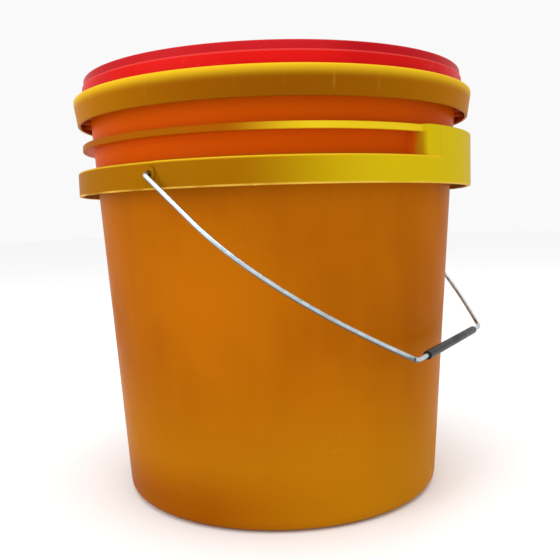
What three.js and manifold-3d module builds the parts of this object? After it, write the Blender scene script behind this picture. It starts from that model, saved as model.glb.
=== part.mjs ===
import * as THREE from 'three';
import { mergeVertices } from 'three/addons/utils/BufferGeometryUtils.js';
import Module from 'manifold-3d';

const wasm = await Module();
wasm.setup();

// Moulded ten litre pail with a press-on lid and a wire bail with a sleeve grip.
// Millimetres. The pail stands on z = 0, its ears lie on the X axis and its bail hangs towards -Y.

// Pail wall and base
const baseRadius = 107.5; // outer cone carried down to the floor
const wallLean = 0.0623; // outward growth of the wall per millimetre of height
const wallThickness = 1.8;
const baseThickness = 2.4;
const footCornerRadius = 8;
const footRingWidth = 7;
const footRecess = 1.6; // the base panel stands this far off the floor

// Skirt band that carries the ears
const skirtBottom = 199;
const skirtHeight = 15.4;
const skirtOverhang = 11.6; // from the wall to the outer face of the band
const skirtCorner = 1.5;
const proudStep = 1.2; // the bearing stretch of the band beside each ear stands out this far
const proudStartTop = 1.6; // degrees past the ear where that stretch starts, at its top
const proudStartBottom = 4.6; // and at its bottom, so its end edge is slanted

// Rib and collar
const ribBottom = 228;
const ribHeight = 4;
const ribOverhang = 6.9;
const collarTop = 260.8;
const collarHeight = 16.4;
const collarOverhang = 10;
const collarTaper = 2.5; // the collar's lower edge lies this far inside its top edge
const collarCorner = 2.2;
const flangeThickness = 2;

// Rim that the lid closes on
const rimHeight = 9.8; // above the collar's top face
const rimStep = 1.6; // the rim's wall lies this far inside the cone of the wall below
const rimBeadWidth = 1.4; // the rim's bead stands out this far from the rim's wall
const rimBeadHeight = 3.8;

// Gussets behind the collar and the skirt
const gussetCount = 32;
const gussetThickness = 1.3;
const gussetSetback = 2; // up from the lower edge of what they brace

// Two plates that join the rib and the skirt, a quarter turn from the ears
const plateHalfAngle = 13.2;
const plateRampAngle = 8.6; // each ramp runs this much further round, down to the wall
const plateSink = 0.4; // the plates lie this far under the proud stretch of the band

// Ears
const earDrop = 6.9; // ear axis under the skirt's top face
const earBossRadius = 4.5;
const earBossHeight = 0.8;
const earBackRadius = 5.2;
const earBackDepth = 1.5;
const earHoleRadius = 1.95;
const earHoleSides = 20;

// Lid
const lidSkirtThickness = 1.7;
const lidSkirtClearance = 1.2; // between the rim's bead and the inside of the lid's skirt
const lidSeatGap = 0.5; // between the collar's top face and the lid's lower edge
const lidBandHeight = 7.4; // lower, proud band of the lid's edge
const lidBandStep = 1.0; // how far that band stands out past the edge above it
const lidRidgeRise = 3.4; // top of the lid above the rim
const lidRidgeCorner = 1.6;
const lidPlugClearance = 0.6; // between the lid's plug and the inside of the pail
const lidPlugDepth = 9.5; // from the rim down to the underside of the plug
const lidPanelDrop = 7.6; // the centre panel lies this far under the ridge
const lidThickness = 1.8;
const lidStackRadius = 92; // a low ring on the panel that locates the next pail
const lidStackWidth = 4;
const lidStackHeight = 1.4;

// Seal in the lid's channel
const sealHeight = 1.0;
const sealGap = 0.3;

// Bail and grip
const wireRadius = 1.4;
const bailSideClearance = 1.8; // between the raised bail and the widest part of the pail
const bailReach = 164.5; // ear axis to the straight grip stretch
const gripStretch = 122; // length of the straight stretch between the two bends
const bailLegLength = 42; // straight leg from the ear axis to the start of the wide curve
const bailCurveAngle = 47.5; // direction of the wire where it reaches the grip stretch
const gripBendRadius = 7;
const hookOuterBend = 3;
const hookInnerBend = 2.2;
const hookPassage = 7.5; // straight wire through the ear
const hookTail = 1.5;
const gripLength = 95;
const gripRadius = 2.6;
const gripEdge = 0.4; // chamfer at the sleeve's ends
const gripClearance = 0.3;
const gripStandoff = 9.5; // between the grip and the pail's wall as the bail rests

const roundSegments = 72;
const wireSides = 10;
const gripSides = 20;
const bendSteps = 5;
const curveSteps = 10;
const cutMargin = 1; // how far a cutting tool runs past what it cuts
const overlapDepth = 0.6; // how far a joined piece is sunk into its carrier

const degrees = Math.PI / 180;
const wallAt = (z) => baseRadius + wallLean * z;
const insideAt = (z) => wallAt(z) - wallThickness;

const skirtTop = skirtBottom + skirtHeight;
const skirtRadius = wallAt(skirtTop) + skirtOverhang;
const proudRadius = skirtRadius + proudStep;
const plateRadius = proudRadius - plateSink;
const ribTop = ribBottom + ribHeight;
const ribRadius = wallAt(ribTop) + ribOverhang;
const collarRadius = wallAt(collarTop) + collarOverhang;
const collarBottom = collarTop - collarHeight;
const rimTop = collarTop + rimHeight;
const rimRadius = wallAt(collarTop) - rimStep;
const rimInside = rimRadius - wallThickness;
const beadRadius = rimRadius + rimBeadWidth;
const earHeight = skirtTop - earDrop;
const widestRadius = Math.max(collarRadius, proudRadius, skirtRadius + earBossHeight);

// Booleans on closed meshes

function solidOf(geometry) {
  const bare = geometry.clone();
  bare.deleteAttribute('normal');
  bare.deleteAttribute('uv');
  const merged = mergeVertices(bare, 1e-4);
  const index = merged.index.array;
  const triangles = [];
  for (let i = 0; i < index.length; i += 3) {
    const [a, b, c] = [index[i], index[i + 1], index[i + 2]];
    if (a !== b && b !== c && c !== a) triangles.push(a, b, c);
  }
  const vertProperties = new Float32Array(merged.attributes.position.array);
  const mesh = new wasm.Mesh({ numProp: 3, vertProperties, triVerts: new Uint32Array(triangles) });
  return new wasm.Manifold(mesh);
}

function geometryOf(solid) {
  const mesh = solid.getMesh();
  const geometry = new THREE.BufferGeometry();
  geometry.setAttribute('position', new THREE.BufferAttribute(new Float32Array(mesh.vertProperties), 3));
  geometry.setIndex(new THREE.BufferAttribute(new Uint32Array(mesh.triVerts), 1));
  geometry.computeVertexNormals();
  return geometry;
}

const joined = (solids) => solids.reduce((whole, piece) => whole.add(piece));

// Profiles: [radius, height] points, turned round the Z axis

function turned(profile, segments = roundSegments) {
  const points = profile.map(([radius, height]) => new THREE.Vector2(radius, height));
  const geometry = new THREE.LatheGeometry(points, segments);
  geometry.rotateX(Math.PI / 2);
  return solidOf(geometry);
}

function arc(radius, height, size, from, to, steps) {
  const points = [];
  for (let i = 0; i <= steps; i++) {
    const angle = (from + ((to - from) * i) / steps) * degrees;
    points.push([radius + size * Math.cos(angle), height + size * Math.sin(angle)]);
  }
  return points;
}

const closed = (profile) => [...profile, profile[0]];

// A prism over a plan outline in X and Y, from one height to another
function prism(outline, low, high) {
  const shape = new THREE.Shape(outline.map(([x, y]) => new THREE.Vector2(x, y)));
  const geometry = new THREE.ExtrudeGeometry(shape, { depth: high - low, bevelEnabled: false });
  geometry.translate(0, 0, low);
  return solidOf(geometry);
}

// Directions round the pail are measured in degrees from the near ear, which lies towards -X
const polar = (radius, angle) => [
  -radius * Math.cos(angle * degrees),
  -radius * Math.sin(angle * degrees),
];

function polarArc(radius, from, to, steps) {
  const points = [];
  for (let i = 0; i <= steps; i++) points.push(polar(radius, from + ((to - from) * i) / steps));
  return points;
}

const halfTurn = (solid) => solid.rotate([0, 0, 180]);

// The pail's own turned shape: base, wall, skirt, rib, collar and rim
function pailShell() {
  const cornerCentre = wallAt(footCornerRadius) - footCornerRadius;
  const innerCorner = footCornerRadius - wallThickness;
  const floorTop = footRecess + baseThickness;
  const innerCentre = insideAt(floorTop + innerCorner) - innerCorner;
  const ringInside = cornerCentre - footRingWidth;
  const outside = [
    [0, footRecess],
    [ringInside - footRecess, footRecess],
    [ringInside, 0],
    ...arc(cornerCentre, footCornerRadius, footCornerRadius, -90, 0, 5),
    [wallAt(skirtTop - flangeThickness), skirtTop - flangeThickness],
    [skirtRadius - wallThickness, skirtTop - flangeThickness],
    [skirtRadius - wallThickness, skirtBottom],
    [skirtRadius, skirtBottom],
    ...arc(skirtRadius - skirtCorner, skirtTop - skirtCorner, skirtCorner, 0, 90, 3),
    [wallAt(skirtTop), skirtTop],
    [wallAt(ribBottom), ribBottom],
    [ribRadius, ribBottom],
    [ribRadius, ribTop],
    [wallAt(ribTop), ribTop],
    [wallAt(collarTop - flangeThickness), collarTop - flangeThickness],
    [collarRadius - wallThickness, collarTop - flangeThickness],
    [collarRadius - collarTaper - wallThickness, collarBottom],
    [collarRadius - collarTaper, collarBottom],
    ...arc(collarRadius - collarCorner, collarTop - collarCorner, collarCorner, 0, 90, 3),
    [rimRadius, collarTop],
    [rimRadius, rimTop - rimBeadHeight],
    [beadRadius, rimTop - rimBeadHeight + rimBeadWidth],
    [beadRadius, rimTop - rimBeadWidth],
    [rimRadius, rimTop],
  ];
  const inside = [
    [rimInside, rimTop],
    [rimInside, collarTop],
    [insideAt(collarTop - flangeThickness), collarTop - flangeThickness - rimStep],
    ...arc(innerCentre, floorTop + innerCorner, innerCorner, 0, -90, 4),
    [0, floorTop],
  ];
  return turned([...outside, ...inside]);
}

// A pie-shaped cutter between two directions
function sector(from, to, low, high) {
  const far = widestRadius * 2;
  return prism([[0, 0], ...polarArc(far, from, to, 8)], low, high);
}

// The stretch of the band that stands proud, from beside an ear to the next plate
function proudBand() {
  const inner = skirtRadius - overlapDepth;
  const ring = turned(closed([
    [inner, skirtBottom],
    [proudRadius, skirtBottom],
    ...arc(proudRadius - skirtCorner, skirtTop - skirtCorner, skirtCorner, 0, 90, 3),
    [inner, skirtTop],
  ]));
  const along = (angle) => -proudRadius * Math.sin(angle * degrees);
  const slope = (along(proudStartTop) - along(proudStartBottom)) / skirtHeight;
  const lowEnd = along(proudStartBottom) - slope * cutMargin;
  const highEnd = along(proudStartTop) + slope * cutMargin;
  const shape = new THREE.Shape([
    new THREE.Vector2(proudRadius, skirtBottom - cutMargin),
    new THREE.Vector2(proudRadius, skirtTop + cutMargin),
    new THREE.Vector2(highEnd, skirtTop + cutMargin),
    new THREE.Vector2(lowEnd, skirtBottom - cutMargin),
  ]);
  const cutter = new THREE.ExtrudeGeometry(shape, { depth: proudRadius + cutMargin, bevelEnabled: false });
  // The shape's X becomes the row's Y, its Y the height, and it is extruded towards -X
  cutter.applyMatrix4(new THREE.Matrix4().makeBasis(
    new THREE.Vector3(0, 1, 0), new THREE.Vector3(0, 0, 1), new THREE.Vector3(1, 0, 0),
  ));
  cutter.translate(-proudRadius - cutMargin, 0, 0);
  const stretch = sector(0, 90 - plateHalfAngle, skirtBottom - cutMargin, skirtTop + cutMargin);
  return ring.intersect(stretch).subtract(solidOf(cutter));
}

// Plan outline of a plate with its two ramps, drawn in by the given inset
function platePlan(inset) {
  const foot = wallAt(skirtTop) - overlapDepth;
  const rampSlope = Math.atan2(plateRadius - foot, plateRadius * plateRampAngle * degrees);
  const insetAngle = inset / (plateRadius * Math.cos(rampSlope) * degrees);
  const flat = plateHalfAngle - insetAngle;
  const ramp = plateHalfAngle + plateRampAngle - insetAngle;
  return [
    ...polarArc(plateRadius - inset, 90 - flat, 90 + flat, 8),
    ...polarArc(foot - inset, 90 + ramp, 90 - ramp, 8),
  ];
}

// A plate between the rib and the skirt, hollow behind and open underneath
function plate() {
  const face = turned(closed([
    [plateRadius - wallThickness, skirtBottom],
    [plateRadius, skirtBottom],
    [plateRadius, ribTop - skirtCorner],
    [plateRadius - skirtCorner, ribTop],
    [plateRadius - wallThickness, ribTop],
  ]));
  const span = sector(90 - plateHalfAngle, 90 + plateHalfAngle, skirtBottom - cutMargin, ribTop + cutMargin);
  const roof = turned(closed([
    [wallAt(ribTop) - overlapDepth, ribTop - flangeThickness],
    [plateRadius - overlapDepth, ribTop - flangeThickness],
    [plateRadius - overlapDepth, ribTop],
    [wallAt(ribTop) - overlapDepth, ribTop],
  ])).intersect(span);
  const block = prism(platePlan(0), skirtTop - flangeThickness, ribTop - flangeThickness);
  return joined([face.intersect(span), roof, block]);
}

function plateHollow() {
  const hollow = prism(platePlan(wallThickness), skirtBottom - cutMargin, ribTop - flangeThickness);
  return hollow.subtract(wallCore());
}

// Solid cone of the pail's outer wall, which keeps a cut behind a plate out of the wall
function wallCore() {
  return turned([[0, 0], [baseRadius, 0], [wallAt(collarTop), collarTop], [0, collarTop]]);
}

// One radial gusset between the wall and what hangs off it
function gusset(angle, low, high, reachLow, reachHigh) {
  const shape = new THREE.Shape([
    new THREE.Vector2(wallAt(low) - overlapDepth, low),
    new THREE.Vector2(reachLow + overlapDepth, low),
    new THREE.Vector2(reachHigh + overlapDepth, high),
    new THREE.Vector2(wallAt(high) - overlapDepth, high),
  ]);
  const geometry = new THREE.ExtrudeGeometry(shape, { depth: gussetThickness, bevelEnabled: false });
  geometry.translate(0, 0, -gussetThickness / 2);
  geometry.rotateX(Math.PI / 2);
  geometry.rotateZ(Math.PI + angle * degrees);
  return solidOf(geometry);
}

function gussets() {
  const pitch = 360 / gussetCount;
  const collarInside = collarRadius - wallThickness;
  const skirtInside = skirtRadius - wallThickness;
  const plateInside = plateRadius - wallThickness;
  const collarLow = collarBottom + gussetSetback;
  const collarReach = collarInside - collarTaper * (1 - gussetSetback / collarHeight);
  const sunk = flangeThickness / 2;
  const solids = [];
  for (let i = 0; i < gussetCount; i++) {
    const angle = i * pitch;
    solids.push(gusset(angle, collarLow, collarTop - sunk, collarReach, collarInside));
    const fromEar = angle % 180;
    const skirtLow = skirtBottom + gussetSetback;
    if (Math.abs(fromEar - 90) < plateHalfAngle) {
      solids.push(gusset(angle, skirtLow, ribTop - sunk, plateInside, plateInside));
    } else if (fromEar > 0) {
      solids.push(gusset(angle, skirtLow, skirtTop - sunk, skirtInside, skirtInside));
    }
  }
  return joined(solids);
}

// A short round bar along the X axis at the ear's height, on the near side
function earBar(radius, from, to, sides) {
  const geometry = new THREE.CylinderGeometry(radius, radius, to - from, sides);
  geometry.rotateZ(Math.PI / 2);
  geometry.translate(-(from + to) / 2, 0, earHeight);
  return solidOf(geometry);
}

function pailBody() {
  const inner = skirtRadius - wallThickness;
  const boss = earBar(earBossRadius, inner, skirtRadius + earBossHeight, 28);
  const backing = earBar(earBackRadius, inner - earBackDepth, skirtRadius - overlapDepth, 20);
  const hole = earBar(earHoleRadius, inner - earBackDepth - cutMargin, proudRadius + cutMargin, earHoleSides);
  const additions = joined([proudBand(), plate()]);
  let body = pailShell().add(additions).add(halfTurn(additions));
  body = body.subtract(plateHollow()).subtract(halfTurn(plateHollow()));
  body = body.add(gussets()).add(joined([boss, backing, halfTurn(boss), halfTurn(backing)]));
  return geometryOf(body.subtract(hole).subtract(halfTurn(hole)));
}

// Lid: proud lower band, ridge over the rim, plug wall and recessed centre panel
function lidShell() {
  const skirtInside = beadRadius + lidSkirtClearance;
  const edge = skirtInside + lidSkirtThickness;
  const bandRadius = edge + lidBandStep;
  const low = collarTop + lidSeatGap;
  const top = rimTop + lidRidgeRise;
  const channelTop = top - lidThickness;
  const plugLow = rimTop - lidPlugDepth;
  const plugOutside = rimInside - lidPlugClearance;
  const plugInside = plugOutside - lidThickness;
  const panelTop = top - lidPanelDrop;
  const stackOut = lidStackRadius + lidStackWidth / 2;
  const stackIn = lidStackRadius - lidStackWidth / 2;
  return turned([
    [0, panelTop - lidThickness],
    [plugInside, panelTop - lidThickness],
    [plugInside, plugLow],
    [plugOutside, plugLow],
    [plugOutside, channelTop],
    [skirtInside, channelTop],
    [skirtInside, low],
    [bandRadius, low],
    [bandRadius, low + lidBandHeight - lidBandStep / 2],
    [bandRadius - lidBandStep / 2, low + lidBandHeight],
    [edge, low + lidBandHeight],
    ...arc(edge - lidRidgeCorner, top - lidRidgeCorner, lidRidgeCorner, 0, 90, 3),
    ...arc(plugInside + lidRidgeCorner, top - lidRidgeCorner, lidRidgeCorner, 90, 180, 3),
    [plugInside, panelTop],
    [stackOut + lidStackHeight, panelTop],
    [stackOut, panelTop + lidStackHeight],
    [stackIn, panelTop + lidStackHeight],
    [stackIn - lidStackHeight, panelTop],
    [0, panelTop],
  ]);
}

function sealRing() {
  const inner = rimInside - lidPlugClearance + sealGap;
  const outer = beadRadius + lidSkirtClearance - sealGap;
  const high = rimTop + lidRidgeRise - lidThickness - sealGap;
  const low = high - sealHeight;
  return turned(closed([[inner, low], [outer, low], [outer, high], [inner, high]]));
}

// The wire's route, as stations that lie close together only in its bends
class WireRoute extends THREE.Curve {
  constructor(stations) {
    super();
    this.stations = stations;
  }

  getPointAt(share) {
    return this.stations[Math.round(share * (this.stations.length - 1))].clone();
  }

  getTangentAt(share) {
    const last = this.stations.length - 1;
    const i = Math.round(share * last);
    const before = this.stations[Math.max(i - 1, 0)];
    const here = this.stations[i];
    const after = this.stations[Math.min(i + 1, last)];
    const incoming = here.clone().sub(before).normalize();
    const outgoing = after.clone().sub(here).normalize();
    return incoming.add(outgoing).normalize();
  }
}

// One half of the bail in its own plane: x along the ear axis, y down along the legs.
// It runs from the tail inside the ear, through the ear, down the leg and to the grip's middle.
function halfBail(halfWidth) {
  const tailX = halfWidth - hookOuterBend - hookPassage - hookInnerBend;
  const turn = bailCurveAngle * degrees;
  const bendEnd = gripStretch / 2;
  const bendStart = {
    x: bendEnd + gripBendRadius * Math.cos(turn),
    y: bailReach - gripBendRadius * (1 - Math.sin(turn)),
  };
  // The leg and the slanted run would meet here, and the wide curve rounds that corner
  const cornerY = bendStart.y - (halfWidth - bendStart.x) / Math.tan(turn);
  const path = new THREE.Path();
  path.moveTo(tailX, -hookInnerBend - hookTail);
  path.lineTo(tailX, -hookInnerBend);
  path.absarc(tailX + hookInnerBend, -hookInnerBend, hookInnerBend, Math.PI, Math.PI / 2, true);
  path.lineTo(halfWidth - hookOuterBend, 0);
  path.absarc(halfWidth - hookOuterBend, hookOuterBend, hookOuterBend, -Math.PI / 2, 0, false);
  path.lineTo(halfWidth, bailLegLength);
  path.quadraticCurveTo(halfWidth, cornerY, bendStart.x, bendStart.y);
  path.absarc(bendEnd, bailReach - gripBendRadius, gripBendRadius, Math.PI / 2 - turn, Math.PI / 2, false);
  path.lineTo(0, bailReach);
  return path;
}

function stationsAlong(path) {
  const stations = [];
  for (const curve of path.curves) {
    const steps = curve.isLineCurve ? 1 : curve.isEllipseCurve ? bendSteps : curveSteps;
    const points = curve.getPoints(steps);
    stations.push(...(stations.length ? points.slice(1) : points));
  }
  return stations.map((point) => new THREE.Vector3(point.x, point.y, 0));
}

function bailWire() {
  const halfWidth = widestRadius + bailSideClearance + wireRadius;
  const half = stationsAlong(halfBail(halfWidth));
  const otherHalf = half.slice(0, -1).reverse().map((point) => new THREE.Vector3(-point.x, point.y, 0));
  const stations = [...half, ...otherHalf];
  const section = new THREE.Shape().absarc(0, 0, wireRadius, 0, 2 * Math.PI, false);
  return new THREE.ExtrudeGeometry(section, {
    steps: stations.length - 1,
    curveSegments: wireSides / 2,
    bevelEnabled: false,
    extrudePath: new WireRoute(stations),
  });
}

function gripSleeve() {
  const inner = wireRadius + gripClearance;
  const half = gripLength / 2;
  const solid = turned(closed([
    [inner, -half],
    [gripRadius - gripEdge, -half],
    [gripRadius, gripEdge - half],
    [gripRadius, half - gripEdge],
    [gripRadius - gripEdge, half],
    [inner, half],
  ]), gripSides);
  const geometry = geometryOf(solid);
  geometry.rotateY(Math.PI / 2);
  geometry.translate(0, bailReach, 0);
  return geometry;
}

// The bail's angle from straight down at which the grip stands its gap off the leaning wall
function restAngle() {
  const lean = Math.atan(wallLean);
  const clearOfWall = wallAt(earHeight) + gripRadius + gripStandoff;
  return Math.asin((clearOfWall * Math.cos(lean)) / bailReach) - lean;
}

function piece(name, geometry, material) {
  const mesh = new THREE.Mesh(geometry, new THREE.MeshStandardMaterial(material));
  mesh.name = name;
  return mesh;
}

const pail = new THREE.Group();
pail.add(piece('bucket_body', pailBody(), { color: 0xd8850f, roughness: 0.42, metalness: 0 }));
pail.add(piece('lid', geometryOf(lidShell()), { color: 0xd21a1c, roughness: 0.4, metalness: 0 }));
pail.add(piece('lid_seal_ring', geometryOf(sealRing()), { color: 0xe9e6dc, roughness: 0.8, metalness: 0 }));

const bail = new THREE.Group();
bail.add(piece('bail_wire', bailWire(), { color: 0xb9c3c9, roughness: 0.32, metalness: 1 }));
bail.add(piece('bail_grip', gripSleeve(), { color: 0x17181a, roughness: 0.55, metalness: 0 }));
bail.position.set(0, 0, earHeight);
bail.rotation.x = -(Math.PI / 2 + restAngle());
pail.add(bail);

export default pail;
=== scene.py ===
import math

import bmesh
import bpy
from mathutils import Matrix, Vector


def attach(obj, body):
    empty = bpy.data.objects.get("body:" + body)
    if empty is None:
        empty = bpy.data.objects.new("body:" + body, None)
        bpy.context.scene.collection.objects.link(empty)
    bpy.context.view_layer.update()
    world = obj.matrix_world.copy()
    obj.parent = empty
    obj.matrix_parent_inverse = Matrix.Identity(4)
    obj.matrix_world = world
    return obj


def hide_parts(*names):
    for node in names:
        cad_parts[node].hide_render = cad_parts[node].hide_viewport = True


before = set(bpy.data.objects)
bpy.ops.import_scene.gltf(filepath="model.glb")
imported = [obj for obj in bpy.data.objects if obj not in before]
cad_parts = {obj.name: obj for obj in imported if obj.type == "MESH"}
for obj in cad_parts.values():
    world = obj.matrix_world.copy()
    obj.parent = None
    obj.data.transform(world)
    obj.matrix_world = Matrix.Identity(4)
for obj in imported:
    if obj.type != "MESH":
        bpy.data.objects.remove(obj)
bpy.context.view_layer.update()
print("frame loaded")

mm = 0.001
overlap = 0.6  # how far a joined shell is sunk into its carrier, mm


# Closed shells swept round the pail's axis, from corners given as radius, height and rounding in mm

def rounded(corners, steps=5):
    points = []
    for i, (radius, height, size) in enumerate(corners):
        here = Vector((radius, height))
        if size == 0:
            points.append(here)
            continue
        before = Vector(corners[i - 1][:2]) - here
        after = Vector(corners[(i + 1) % len(corners)][:2]) - here
        reach = min(size / math.tan(before.angle(after) / 2), before.length * 0.48, after.length * 0.48)
        start = here + before.normalized() * reach
        end = here + after.normalized() * reach
        for k in range(steps + 1):
            t = k / steps
            points.append(start * (1 - t) ** 2 + here * 2 * t * (1 - t) + end * t ** 2)
    return points


def direction(angle):  # degrees from the near ear, which lies towards -X
    return Vector((-math.cos(math.radians(angle)), -math.sin(math.radians(angle)), 0))


def fullTurn(bm, profile, segments):
    rings = []
    for point in profile:
        if point.x < 1e-6:
            rings.append([bm.verts.new((0, 0, point.y * mm))])
            continue
        ring = []
        for k in range(segments):
            place = direction(360 * k / segments) * point.x
            ring.append(bm.verts.new(Vector((place.x, place.y, point.y)) * mm))
        rings.append(ring)
    reachesAxis = len(rings[0]) == 1
    for i in range(len(rings) - (1 if reachesAxis else 0)):
        a, b = rings[i], rings[(i + 1) % len(rings)]
        for k in range(segments):
            n = (k + 1) % segments
            corners = [a[k % len(a)], a[n % len(a)], b[n % len(b)], b[k % len(b)]]
            unique = [v for j, v in enumerate(corners) if v not in corners[:j]]
            if len(unique) > 2:
                bm.faces.new(unique)


# profileAt(share) gives a closed loop of (angle, radius, height) points
def partTurn(bm, profileAt, steps):
    rows = []
    for k in range(steps + 1):
        row = []
        for angle, radius, height in profileAt(k / steps):
            place = direction(angle) * radius
            row.append(bm.verts.new(Vector((place.x, place.y, height)) * mm))
        rows.append(row)
    for a, b in zip(rows, rows[1:]):
        for i in range(len(a)):
            n = (i + 1) % len(a)
            bm.faces.new([a[i], a[n], b[n], b[i]])
    bm.faces.new(rows[0])
    bm.faces.new(rows[-1])


def bothSides(bm):  # the same shells again, half a turn round
    copies = bmesh.ops.duplicate(bm, geom=bm.verts[:] + bm.faces[:] + bm.edges[:])["geom"]
    turned = [v for v in copies if isinstance(v, bmesh.types.BMVert)]
    bmesh.ops.rotate(bm, verts=turned, matrix=Matrix.Rotation(math.pi, 3, "Z"))


def meshObject(name, bm):
    bmesh.ops.recalc_face_normals(bm, faces=bm.faces[:])
    mesh = bpy.data.meshes.new(name)
    bm.to_mesh(mesh)
    bm.free()
    obj = bpy.data.objects.new(name, mesh)
    bpy.context.scene.collection.objects.link(obj)
    return obj


def smoothed(obj, sharpAngle=32):
    obj.data.shade_smooth()
    obj.data.set_sharp_from_angle(angle=math.radians(sharpAngle))


def evaluated(obj):  # the modifiers' result as a plain mesh
    graph = bpy.context.evaluated_depsgraph_get()
    return bpy.data.meshes.new_from_object(obj.evaluated_get(graph))


def carve(target, tools, operation):
    for tool in tools:
        step = target.modifiers.new(tool.name, "BOOLEAN")
        step.operation = operation
        step.solver = "MANIFOLD"
        step.object = tool
    result = evaluated(target)
    target.modifiers.clear()
    target.data = result
    for tool in tools:
        bpy.data.objects.remove(tool)


# Geometry Nodes

class Tree:
    def __init__(self, tree):
        self.tree = tree
        self.nodes = tree.nodes

    def socket(self, name, kind, default=None, out=False):
        way = "OUTPUT" if out else "INPUT"
        item = self.tree.interface.new_socket(name, in_out=way, socket_type=kind)
        if default is not None:
            item.default_value = default

    def add(self, kind, values=None, **settings):
        node = self.nodes.new(kind)
        for key, value in settings.items():
            setattr(node, key, value)
        for key, value in (values or {}).items():
            self.feed(node, key, value)
        return node

    def feed(self, node, key, value):
        if isinstance(value, bpy.types.NodeSocket):
            self.tree.links.new(value, node.inputs[key])
        else:
            node.inputs[key].default_value = value

    def math(self, operation, a, b=0.0, c=0.0, clamp=False):
        values = {0: a, 1: b, 2: c}
        return self.add("ShaderNodeMath", values, operation=operation, use_clamp=clamp).outputs[0]

    def times(self, a, b):
        return self.math("MULTIPLY", a, b)

    def noise(self, place, scale, detail=3.0):
        values = {"Vector": place, "Scale": scale, "Detail": detail}
        return self.add("ShaderNodeTexNoise", values).outputs["Fac"]

    def painted(self, geometry, material):  # the end of every Geometry Nodes tree here
        real = self.add("GeometryNodeRealizeInstances", {"Geometry": geometry})
        coat = self.add("GeometryNodeSetMaterial", {"Geometry": real.outputs[0], "Material": material})
        self.feed(self.add("NodeGroupOutput"), "Geometry", coat.outputs[0])


def gussetTree():
    t = Tree(bpy.data.node_groups.new("gussetRing", "GeometryNodeTree"))
    t.socket("Geometry", "NodeSocketGeometry")
    sizes = {
        "Count": 32, "Thickness": 0.0013, "Low": 0.2464, "High": 0.2598, "Inner Low": 0.122,
        "Inner High": 0.123, "Outer Low": 0.13, "Outer High": 0.132,
        "Least From Plate": -1.0, "Most From Plate": 91.0,
    }
    for name, value in sizes.items():
        t.socket(name, "NodeSocketInt" if name == "Count" else "NodeSocketFloat", value)
    t.socket("Material", "NodeSocketMaterial")
    t.socket("Geometry", "NodeSocketGeometry", out=True)
    given = t.add("NodeGroupInput").outputs
    # one gusset: a unit box pushed out to the wall's cone and to what it braces
    box = t.add("GeometryNodeMeshCube", {"Size": (1, 1, 1)})
    place = t.add("GeometryNodeInputPosition").outputs[0]
    axes = t.add("ShaderNodeSeparateXYZ", {0: place}).outputs
    up = t.math("ADD", axes[2], 0.5)
    out = t.math("ADD", axes[0], 0.5)

    def blend(a, b, share):
        values = {"Factor": share, "A": a, "B": b}
        return t.add("ShaderNodeMix", values, data_type="FLOAT").outputs["Result"]

    inner = blend(given["Inner Low"], given["Inner High"], up)
    outer = blend(given["Outer Low"], given["Outer High"], up)
    position = t.add("ShaderNodeCombineXYZ", {
        "X": blend(inner, outer, out),
        "Y": t.times(axes[1], given["Thickness"]),
        "Z": blend(given["Low"], given["High"], up),
    })
    gusset = t.add("GeometryNodeSetPosition", {
        "Geometry": box.outputs["Mesh"], "Position": position.outputs[0],
    })
    points = t.add("GeometryNodePoints", {"Count": given["Count"]})
    index = t.add("GeometryNodeInputIndex").outputs[0]
    turn = t.math("DIVIDE", t.times(index, math.tau), given["Count"])
    angles = t.add("ShaderNodeCombineXYZ", {"Z": turn}).outputs[0]
    # the plates lie a quarter turn from the ears, so at 90 degrees of every half turn
    inHalfTurn = t.math("MODULO", t.times(turn, 360 / math.tau), 180.0)
    fromPlate = t.math("ABSOLUTE", t.math("SUBTRACT", inHalfTurn, 90.0))
    chosen = t.times(
        t.math("GREATER_THAN", fromPlate, given["Least From Plate"]),
        t.math("LESS_THAN", fromPlate, given["Most From Plate"]),
    )
    ring = t.add("GeometryNodeInstanceOnPoints", {
        "Points": points.outputs[0], "Selection": chosen,
        "Instance": gusset.outputs[0], "Rotation": angles,
    })
    t.painted(ring.outputs[0], given["Material"])
    return t.tree


def wireTree():
    t = Tree(bpy.data.node_groups.new("bentWire", "GeometryNodeTree"))
    t.socket("Geometry", "NodeSocketGeometry")
    t.socket("Radius", "NodeSocketFloat", 0.0014)
    t.socket("Sides", "NodeSocketInt", 20)
    t.socket("Material", "NodeSocketMaterial")
    t.socket("Geometry", "NodeSocketGeometry", out=True)
    given = t.add("NodeGroupInput").outputs
    section = t.add("GeometryNodeCurvePrimitiveCircle", {
        "Resolution": given["Sides"], "Radius": given["Radius"],
    })
    tube = t.add("GeometryNodeCurveToMesh", {
        "Curve": given["Geometry"], "Profile Curve": section.outputs[0], "Fill Caps": True,
    })
    t.painted(tube.outputs[0], given["Material"])
    return t.tree


def grown(obj, tree, values):  # runs a Geometry Nodes tree on the object and keeps its result
    step = obj.modifiers.new(tree.name, "NODES")
    step.node_group = tree
    for item in tree.interface.items_tree:
        if item.item_type == "SOCKET" and item.in_out == "INPUT" and item.name in values:
            step[item.identifier] = values[item.name]
    result = evaluated(obj)
    name = obj.name
    bpy.data.objects.remove(obj)
    made = bpy.data.objects.new(name, result)
    bpy.context.scene.collection.objects.link(made)
    return made


# Shader node groups that the materials share

def mouldGrain():  # fine uneven skin of a moulded or drawn surface
    t = Tree(bpy.data.node_groups.new("mouldGrain", "ShaderNodeTree"))
    t.socket("Scale", "NodeSocketFloat", 400.0)
    t.socket("Waviness", "NodeSocketFloat", 0.4)
    t.socket("Height", "NodeSocketFloat", out=True)
    given = t.add("NodeGroupInput").outputs
    place = t.add("ShaderNodeTexCoord").outputs["Object"]
    fine = t.noise(place, given["Scale"])
    broad = t.noise(place, t.math("DIVIDE", given["Scale"], 18.0), 2.0)
    end = t.add("NodeGroupOutput")
    t.feed(end, "Height", t.math("ADD", fine, t.times(broad, given["Waviness"])))
    return t.tree


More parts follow.
